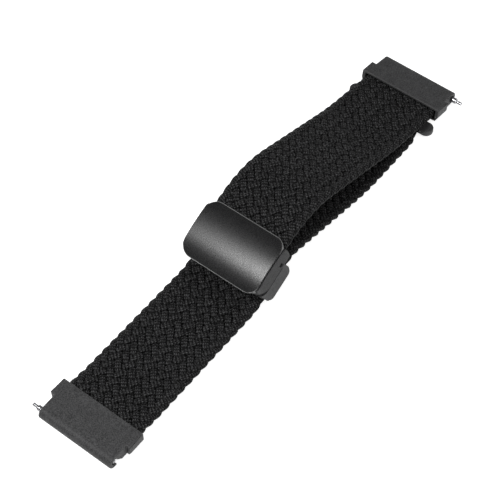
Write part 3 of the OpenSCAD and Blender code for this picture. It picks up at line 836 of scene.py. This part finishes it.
def cover_shape():
    """The crowned cover: a thin plate with a rounded rim and a skirt round its sides and front."""
    front, back = reach("cover_plate", along_clasp)
    low = reach("cover_plate", up_clasp)[0]

    def foot(u):
        return low if u < back - COVER_CORNER else cover_top(u) - COVER_T - COVER_LIP

    rows = plan_rows(front, back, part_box("cover_plate")[1].y, COVER_CORNER, COVER_CORNER)
    bm = bmesh.new()
    rim = bm.faces.layers.float.new("rim")
    outer = [plan_ring(bm, rows, 0, foot)]
    for cosine, sine in quarter(RIM_STEPS):
        drop = COVER_RIM * (1 - sine)
        outer.append(plan_ring(bm, rows, COVER_RIM * (1 - cosine), lambda u, drop=drop: cover_top(u) - drop))
    under = plan_ring(bm, rows, COVER_SKIRT, lambda u: cover_top(u) - COVER_T)
    inner_foot = plan_ring(bm, rows, COVER_SKIRT, foot)
    # The rim carries a painted highlight, bright where it runs across the plate, and fades round the corners
    rim_highlight_by_slope = [abs(row[2]) for row in rows]
    rim_highlight_by_slope += rim_highlight_by_slope[::-1]
    for number, (first, second) in enumerate(zip(outer, outer[1:])):
        for face, slope in zip(wall(bm, first, second), rim_highlight_by_slope):
            face[rim] = slope if number else 0
    lid(bm, outer[-1])
    lid(bm, under)
    wall(bm, under, inner_foot)
    wall(bm, inner_foot, outer[0])
    bmesh.ops.recalc_face_normals(bm, faces=bm.faces)
    return bm


def weighted(piece):
    """Smooth shading that keeps flat faces flat."""
    piece.data.shade_smooth()
    normals = piece.modifiers.new("Normals", "WEIGHTED_NORMAL")
    normals.keep_sharp = True
    return finished_mesh(piece)


def near_plate(plate):
    """Whether a point is so near to a link's plate that an edge there stays sharp."""
    mesh = frame["nodes"][plate].data
    shape = BVHTree.FromPolygons([v.co for v in mesh.vertices], [face.vertices for face in mesh.polygons])
    return lambda spot: shape.find_nearest(spot)[3] < PLATE_SEAT


def softened(bm, name, width, spared=None):
    """A mesh with its sharp edges rounded to a width and marked as rims, but for those at spared points."""
    flat = math.radians(FLAT_ANGLE)
    bmesh.ops.dissolve_limit(bm, angle_limit=flat, verts=bm.verts, edges=bm.edges, delimit={"NORMAL"})
    bmesh.ops.connect_verts_concave(bm, faces=bm.faces)
    rim = bm.faces.layers.float.get("rim") or bm.faces.layers.float.new("rim")
    sharp = math.radians(SHARP_ANGLE)
    edges = [e for e in bm.edges if len(e.link_faces) == 2 and e.calc_face_angle(0) > sharp]
    if spared:
        edges = [e for e in edges if not all(spared(v.co) for v in e.verts)]
    rounded = bmesh.ops.bevel(
        bm, geom=edges, offset=width, segments=ROUNDING_STEPS, profile=0.5, affect="EDGES",
        clamp_overlap=False,
    )
    # The rounded faces are marked as rims, which the coats paint paler: rubbing and a painted edge highlight
    for face in rounded["faces"]:
        face[rim] = 1
    bmesh.ops.connect_verts_concave(bm, faces=bm.faces)
    bmesh.ops.holes_fill(bm, edges=[e for e in bm.edges if e.is_boundary], sides=0)
    return weighted(link_object(name, as_mesh(bm, name)))


# Materials

def new_material(name):
    """A material with nothing but a Principled shader and an output, and its tree and shader."""
    made = bpy.data.materials.new(name)
    made.use_nodes = True
    return made, made.node_tree, made.node_tree.nodes["Principled BSDF"]


def attribute(tree, name):
    """A value that the mesh carries under a name."""
    return out(place(tree, "ShaderNodeAttribute", attribute_name=name), "Fac")


def noise(tree, where, scale, detail=2.0, roughness=0.5):
    """Soft noise about 0.5 over a place."""
    return out(place(
        tree, "ShaderNodeTexNoise",
        {"Vector": where, "Scale": scale, "Detail": detail, "Roughness": roughness},
    ))


def blended(tree, share, first, second):
    """A color between two colors."""
    mixed = place(tree, "ShaderNodeMix", data_type="RGBA")
    for socket, value in ((0, share), (6, first), (7, second)):
        feed(tree, mixed.inputs[socket], value)
    return out(mixed, 2)


def emboss(tree, shader, height, depth, strength=1.0):
    """Relief on a shader."""
    bump = place(tree, "ShaderNodeBump", {"Height": height, "Strength": strength, "Distance": depth})
    feed(tree, shader.inputs["Normal"], out(bump))


def coat_group():
    """Fine grain and broad mottling of a blasted and sprayed coat."""
    tree, given, result = new_tree(
        "Coat Grain",
        "ShaderNodeTree",
        [
            ("Color", COLOR, (0.05, 0.05, 0.05, 1)),
            ("Grain Size", FLOAT, 0.3 * MM),
            ("Broad Scale", FLOAT, 0.18),
            ("Fine Share", FLOAT, 1.1),
            ("Broad Share", FLOAT, 0.2),
            ("Mottle", FLOAT, 0.5),
            ("Roughness", FLOAT, 0.5),
            ("Roughness Spread", FLOAT, 0.1),
        ],
        [("Color", COLOR), ("Roughness", FLOAT), ("Height", FLOAT)],
    )
    where = out(place(tree, "ShaderNodeTexCoord"), "Object")
    fine = noise(tree, where, 1 / given["Grain Size"], roughness=0.6)
    broad = noise(tree, where, given["Broad Scale"] / given["Grain Size"])
    spread = ((fine - 0.5) * given["Fine Share"] + (broad - 0.5) * given["Broad Share"]) * 2
    feed(tree, result.inputs["Color"], scaled(tree, given["Color"], 1 + spread * given["Mottle"]))
    feed(tree, result.inputs["Roughness"], given["Roughness"] + spread * given["Roughness Spread"])
    feed(tree, result.inputs["Height"], fine)
    return tree


def rim_group():
    """A mask of the faces that are marked as rims, broken up where the coat still holds: it paints both
    rubbed rims and a highlight of light along the edges.
    """
    tree, given, result = new_tree(
        "Worn Rim And Highlight",
        "ShaderNodeTree",
        [("Patch Size", FLOAT, 0.6 * MM), ("Patch Contrast", FLOAT, 0.6), ("Wear And Highlight", FLOAT, 0.5)],
        [("Mask", FLOAT)],
    )
    where = out(place(tree, "ShaderNodeTexCoord"), "Object")
    patches = noise(tree, where, 1 / given["Patch Size"], detail=3.0)
    bared = 1 - given["Patch Contrast"] * (1 - ((patches - 0.3) * 3).clamp())
    feed(tree, result.inputs["Mask"], attribute(tree, "rim") * given["Wear And Highlight"] * bared)
    return tree


def coated_metal(name, groups, *, color, roughness, grain, mottle, depth, specular, rim_wear_and_highlight=0.3, rim_paleness=0.1):
    """Metal under a matt or satin dark coat, paler and less rough along its rims, which are rubbed and carry
    a painted highlight.
    """
    made, tree, shader = new_material(name)
    coat = place(
        tree, "ShaderNodeGroup",
        {"Color": (*color, 1), "Grain Size": grain, "Mottle": mottle, "Roughness": roughness},
        node_tree=groups["coat"],
    )
    rubbed_and_lit_rim = out(place(tree, "ShaderNodeGroup", {"Wear And Highlight": rim_wear_and_highlight}, node_tree=groups["rim"]), "Mask")
    # The rims' paler colour is partly rubbing and partly a painted highlight along the edges
    shade = blended(tree, rubbed_and_lit_rim, out(coat, "Color"), (rim_paleness, rim_paleness, rim_paleness, 1))
    feed(tree, shader.inputs["Base Color"], shade)
    feed(tree, shader.inputs["Roughness"], out(coat, "Roughness") * (1 - rubbed_and_lit_rim * RIM_POLISH))
    shader.inputs["Specular IOR Level"].default_value = specular
    if rim_paleness > BARE_FROM:
        feed(tree, shader.inputs["Metallic"], rubbed_and_lit_rim)
    emboss(tree, shader, out(coat, "Height"), depth)
    return made


def bright_metal(name, *, color, roughness, line_size):
    """Turned and polished metal, with fine lines round it."""
    made, tree, shader = new_material(name)
    where = out(place(tree, "ShaderNodeTexCoord"), "Object")
    lines = out(place(
        tree, "ShaderNodeTexWave",
        {"Vector": where, "Scale": 1 / line_size, "Distortion": 1.5, "Detail": 2.0},
        bands_direction="Y",
    ), "Fac")
    feed(tree, shader.inputs["Base Color"], (*color, 1))
    shader.inputs["Metallic"].default_value = 1
    feed(tree, shader.inputs["Roughness"], roughness + lines * 0.1)
    emboss(tree, shader, lines, LINE_DEPTH, strength=0.6)
    return made


def nylon_group():
    """Knitted yarns along a strand: painted shade and highlights, and height, from the strand's own
    attributes.
    """
    tree, given, result = new_tree(
        "Nylon Yarn",
        "ShaderNodeTree",
        [
            ("Yarn Width", FLOAT, 0.52),
            ("Stitch Length", FLOAT, 0.54),
            ("Streak Length", FLOAT, 0.55),
            ("Streak Width", FLOAT, 0.22),
            ("Loop Size", FLOAT, 0.36 * MM),
            ("Wander Scale", FLOAT, 1100.0),
            ("Yarn Wander", FLOAT, 0.3),
            ("Stitch Wander", FLOAT, 0.5),
            ("Stitch Slope", FLOAT, 0.4),
            ("Strand Shift", FLOAT, 0.37),
            ("Groove Shade", FLOAT, 0.35),
            ("Fibre Light", FLOAT, 0.5),
            ("Stitch Light", FLOAT, 2.9),
        ],
        [("Shade", FLOAT), ("Height", FLOAT), ("Glint", FLOAT)],
    )
    along, across, strand = [attribute(tree, name) for name in ("along", "across", "strand")]
    where = out(place(tree, "ShaderNodeTexCoord"), "Object")
    wander = noise(tree, where, given["Wander Scale"]) - 0.5
    lane = (across + wander * given["Yarn Wander"]) / given["Yarn Width"]
    yarns = (lane * (2 * math.pi)).math("COSINE") * 0.5 + 0.5

    # The stitches lie in chevrons along each yarn
    fold = lane.math("PINGPONG", 0.5) * 2
    shift = fold * given["Stitch Slope"] + strand * given["Strand Shift"] + wander * given["Stitch Wander"]
    row = (along / given["Stitch Length"] + shift) * (2 * math.pi)
    stitches = (row.math("COSINE") * 1.3 + 0.5).clamp()

    # Fibres run along the yarns, another set on each strand, and carry painted glints; a painted highlight
    # stands for light catching some of the stitches' loops
    lanes = vector(tree, X=along / given["Streak Length"], Y=across / given["Streak Width"], Z=strand * 3.7)
    fuzz = noise(tree, lanes, 1.0)
    loops = noise(tree, where, 1 / given["Loop Size"], roughness=0.7)
    fibres = ((fuzz - 0.5) * 9 + 0.45).clamp() * given["Fibre Light"]
    lit = ((loops - 0.5) * 8 + 0.5).clamp() * 1.2 + 0.3
    # Painted shade in the grooves between the yarns
    grooves = given["Groove Shade"] + (1 - given["Groove Shade"]) * yarns
    feed(tree, result.inputs["Shade"], grooves * (fibres + stitches * lit * given["Stitch Light"]))
    feed(tree, result.inputs["Height"], yarns * 0.5 + stitches * 0.6 + fuzz * 0.6 + loops * 0.4)
    feed(tree, result.inputs["Glint"], ((fuzz - 0.6) * 8).clamp())
    return tree


def nylon_braid(name, groups, *, color, glint_color, glint, roughness, specular, depth):
    """Matt black nylon with painted shade in the grooves between its yarns and painted glints on a few
    fibres.
    """
    made, tree, shader = new_material(name)
    yarn = place(tree, "ShaderNodeGroup", node_tree=groups["nylon"])
    shaded = scaled(tree, color, out(yarn, "Shade"))
    # Painted glints mixed into the colour
    shade = blended(tree, out(yarn, "Glint") * glint, shaded, (*glint_color, 1))
    feed(tree, shader.inputs["Base Color"], shade)
    shader.inputs["Roughness"].default_value = roughness
    shader.inputs["Specular IOR Level"].default_value = specular
    emboss(tree, shader, out(yarn, "Height"), depth)
    return made


# Stage

def make_camera():
    """The camera at the photograph's angle."""
    turn = math.radians(CAMERA_AZIMUTH)
    climb = math.radians(CAMERA_ELEVATION)
    roll = math.radians(CAMERA_ROLL)
    back = Vector((math.sin(turn) * math.cos(climb), -math.cos(turn) * math.cos(climb), math.sin(climb)))
    right = Vector((math.cos(turn), math.sin(turn), 0))
    up = back.cross(right)
    rolled_right = right * math.cos(roll) + up * math.sin(roll)
    rolled_up = up * math.cos(roll) - right * math.sin(roll)
    data = bpy.data.cameras.new("camera")
    data.lens = CAMERA_LENS
    data.sensor_width = CAMERA_SENSOR
    data.clip_start = CAMERA_NEAR
    data.clip_end = CAMERA_FAR
    camera = link_object("camera", data)
    turned = Matrix((rolled_right, rolled_up, back)).transposed().to_4x4()
    camera.matrix_world = Matrix.Translation(CAMERA_AIM + back * CAMERA_DISTANCE) @ turned
    bpy.context.scene.camera = camera


def make_lamp(name, direction, distance, size, power):
    """A soft lamp that shines from a direction onto the middle of the table."""
    data = bpy.data.lights.new(name, "AREA")
    data.shape = "RECTANGLE"
    data.size, data.size_y = size
    data.energy = power
    lamp = link_object(name, data)
    lamp.location = Vector(direction).normalized() * distance
    lamp.rotation_euler = lamp.location.to_track_quat("Z", "Y").to_euler()


def seen_ray(tree):
    """1 on rays that the camera sees, straight on, in a reflection or through a surface, and 0 on others."""
    path = place(tree, "ShaderNodeLightPath")
    indirect = out(path, "Is Glossy Ray") + out(path, "Is Transmission Ray")
    return (out(path, "Is Camera Ray") + indirect).clamp()


def make_floor():
    """A white floor that takes the shadow and shows white to the camera and in reflections."""
    mesh = bpy.data.meshes.new("floor")
    signs = ((-1, -1), (1, -1), (1, 1), (-1, 1))
    corners = [(x * FLOOR_HALF, y * FLOOR_HALF, -FLOOR_GAP) for x, y in signs]
    mesh.from_pydata(corners, [], [(0, 1, 2, 3)])
    floor = link_object("floor", mesh)
    made, tree, shader = new_material("floor")
    shader.inputs["Base Color"].default_value = (FLOOR_SHADE, FLOOR_SHADE, FLOOR_SHADE, 1)
    shader.inputs["Roughness"].default_value = 0.9
    shader.inputs["Specular IOR Level"].default_value = 0.1
    shader.inputs["Emission Color"].default_value = (1, 1, 1, 1)
    feed(tree, shader.inputs["Emission Strength"], seen_ray(tree) * FLOOR_GLOW)
    mesh.materials.append(made)


def make_world():
    """A pale studio that the camera and reflections see: white low down and grey overhead."""
    world = bpy.data.worlds.new("studio")
    bpy.context.scene.world = world
    world.use_nodes = True
    tree = world.node_tree
    height = out(split(tree, out(place(tree, "ShaderNodeTexCoord"), "Generated")), "Z")
    seen_strength = 1 - (height / GREY_FROM).clamp() * GREY_BY
    seen = seen_ray(tree)
    background = tree.nodes["Background"]
    background.inputs["Color"].default_value = (1, 1, 1, 1)
    feed(tree, background.inputs["Strength"], seen * seen_strength + (1 - seen) * WORLD_LIGHT)


# The object

groups = {"coat": coat_group(), "rim": rim_group(), "nylon": nylon_group()}
materials = {
    "braid": nylon_braid(
        "black_nylon", groups, color=(0.0172, 0.0172, 0.0176), glint_color=(0.075, 0.075, 0.077), glint=0.6,
        roughness=0.6, specular=0.08, depth=0.07 * MM,
    ),
    "clip_metal": coated_metal(
        "clip_coat", groups, color=(0.038, 0.038, 0.039), roughness=0.45, grain=0.25 * MM, mottle=1.0,
        depth=0.008 * MM, specular=0.25,
    ),
    "link_metal": coated_metal(
        "link_coat", groups, color=(0.044, 0.044, 0.045), roughness=0.55, grain=0.28 * MM, mottle=1.5,
        depth=0.012 * MM, specular=0.22,
    ),
    "dark_plate": coated_metal(
        "plate_coat", groups, color=(0.04, 0.04, 0.041), roughness=0.55, grain=0.28 * MM, mottle=1.5,
        depth=0.012 * MM, specular=0.12,
    ),
    "clasp_metal": coated_metal(
        "clasp_coat", groups, color=(0.05, 0.05, 0.051), roughness=0.55, grain=0.26 * MM, mottle=1.1,
        depth=0.01 * MM, specular=0.12,
    ),
    # The cover's rims carry a strong painted highlight along its ends
    "cover_metal": coated_metal(
        "cover_coat", groups, color=(0.008, 0.008, 0.0084), roughness=0.28, grain=0.26 * MM, mottle=1.0,
        depth=0.002 * MM, specular=0.33, rim_wear_and_highlight=0.9, rim_paleness=0.45,
    ),
    "steel": bright_metal("turned_steel", color=(0.28, 0.28, 0.29), roughness=0.2, line_size=0.06 * MM),
    "nickel": bright_metal("nickel_plate", color=(0.5, 0.5, 0.5), roughness=0.22, line_size=0.2 * MM),
    # Dark steel: its darkness partly paints the shade inside the recesses that the bars' ends sit in
    "dark_steel_and_recess_shade": bright_metal(
        "dark_steel_with_painted_shade", color=(0.035, 0.035, 0.036), roughness=0.4, line_size=0.06 * MM
    ),
}

braid = braid_tree()
strap_long = grown("strap_long_braid", guide_mesh("long_guide", *long_runs()), braid, {
    "Half Width": LONG_W / 2,
    "Press Length": PRESS_L,
    "Pressed Run": TONGUE_L,
    "Pressed Thickness": TONGUE_T / STRAP_T,
    "Pressed Width": TONGUE_W / LONG_W,
    "Material": materials["braid"],
})
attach(strap_long, "root")
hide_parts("strap_long")

strap_short = grown("strap_short_braid", guide_mesh("short_guide", *short_runs()), braid, {
    "Half Width": SHORT_W / 2,
    "Face": -1.0,
    "Eye At End": True,
    "Material": materials["braid"],
})
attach(strap_short, "clasp_top")
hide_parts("strap_short")

# Springs of the two spring bars
coil = coil_tree()
joints = {joint["name"]: joint for joint in frame["record"]["behaviour"]["joints"]}
for letter, still_end in (("a", 1), ("b", -1)):
    node = "bar_spring_" + letter
    low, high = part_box(node)
    length = high.y - low.y
    spring = grown(node + "_coil", bpy.data.meshes.new(node + "_coil"), coil, {
        "Centre": middle(node),
        "Length": length,
        "Radius": (high.z - low.z) / 2,
        "Material": materials["steel"],
    })
    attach(spring, "bar_" + letter)
    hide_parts(node)
    stroke = joints["release_" + letter]["range_m"][1]
    (length - stroke) / length
    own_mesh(spring)

# Metal pieces with their sharp edges rounded: node, body, slot and the width of the rounding
SOFTENED = [
    ("end_link_a", "root", "link_metal", 0.22 * MM),
    ("end_link_b", "clasp_top", "link_metal", 0.22 * MM),
    ("base_frame", "root", "clasp_metal", 0.08 * MM),
    ("top_frame", "clasp_top", "clasp_metal", 0.08 * MM),
    ("cover_plate", "clasp_top", "cover_metal", 0.03 * MM),
    ("tail_clip", "root", "clip_metal", 0.25 * MM),
    ("lock_pin", "root", "dark_steel_and_recess_shade", 0.03 * MM),
]
SHAPES = {
    "base_frame": base_shape,
    "top_frame": frame_shape,
    "cover_plate": cover_shape,
    "lock_pin": lambda: base_shape("lock_pin", LOCK_PIN_INSET),
}
PLATES = {"end_link_a": "link_plate_a", "end_link_b": "link_plate_b"}
# Pieces that share a slot share its finish
for node, body, slot, width in SOFTENED:
    shape = SHAPES[node]() if node in SHAPES else merged(node)
    spared = near_plate(PLATES[node]) if node in PLATES else None
    piece = softened(shape, node + "_finished", width, spared)
    piece.data.materials.append(materials[slot])
    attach(piece, body)
    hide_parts(node)

# The other nodes keep their solids and get their finish; what isn't named here is bright steel
FINISHES = {
    "dark_plate": ["link_plate_a", "link_plate_b", "magnet_plate", "locking_plate"],
    "nickel": ["base_magnet_left", "base_magnet_right", "top_magnet_left", "top_magnet_right"],
    # The bars' dark steel partly stands for painted shade in their recesses
    "dark_steel_and_recess_shade": ["strap_bar", "hook_bar"],
}
for node, piece in frame["nodes"].items():
    finish = next((name for name, nodes in FINISHES.items() if node in nodes), "steel")
    if not piece.hide_render:
        piece.data.materials.clear()
        piece.data.materials.append(materials[finish])

make_floor()
make_world()
make_camera()
make_lamp("key", direction=(-0.46, 0.24, 0.82), distance=0.45, size=(0.055, 0.16), power=1.3)
make_lamp("top", direction=(-0.35, -0.2, 1), distance=0.6, size=(0.6, 0.6), power=0.2)
make_lamp("front", direction=(0.3, -0.85, 0.8), distance=0.9, size=(0.6, 0.4), power=2.2)

scene = bpy.context.scene
scene.view_settings.view_transform = "Standard"
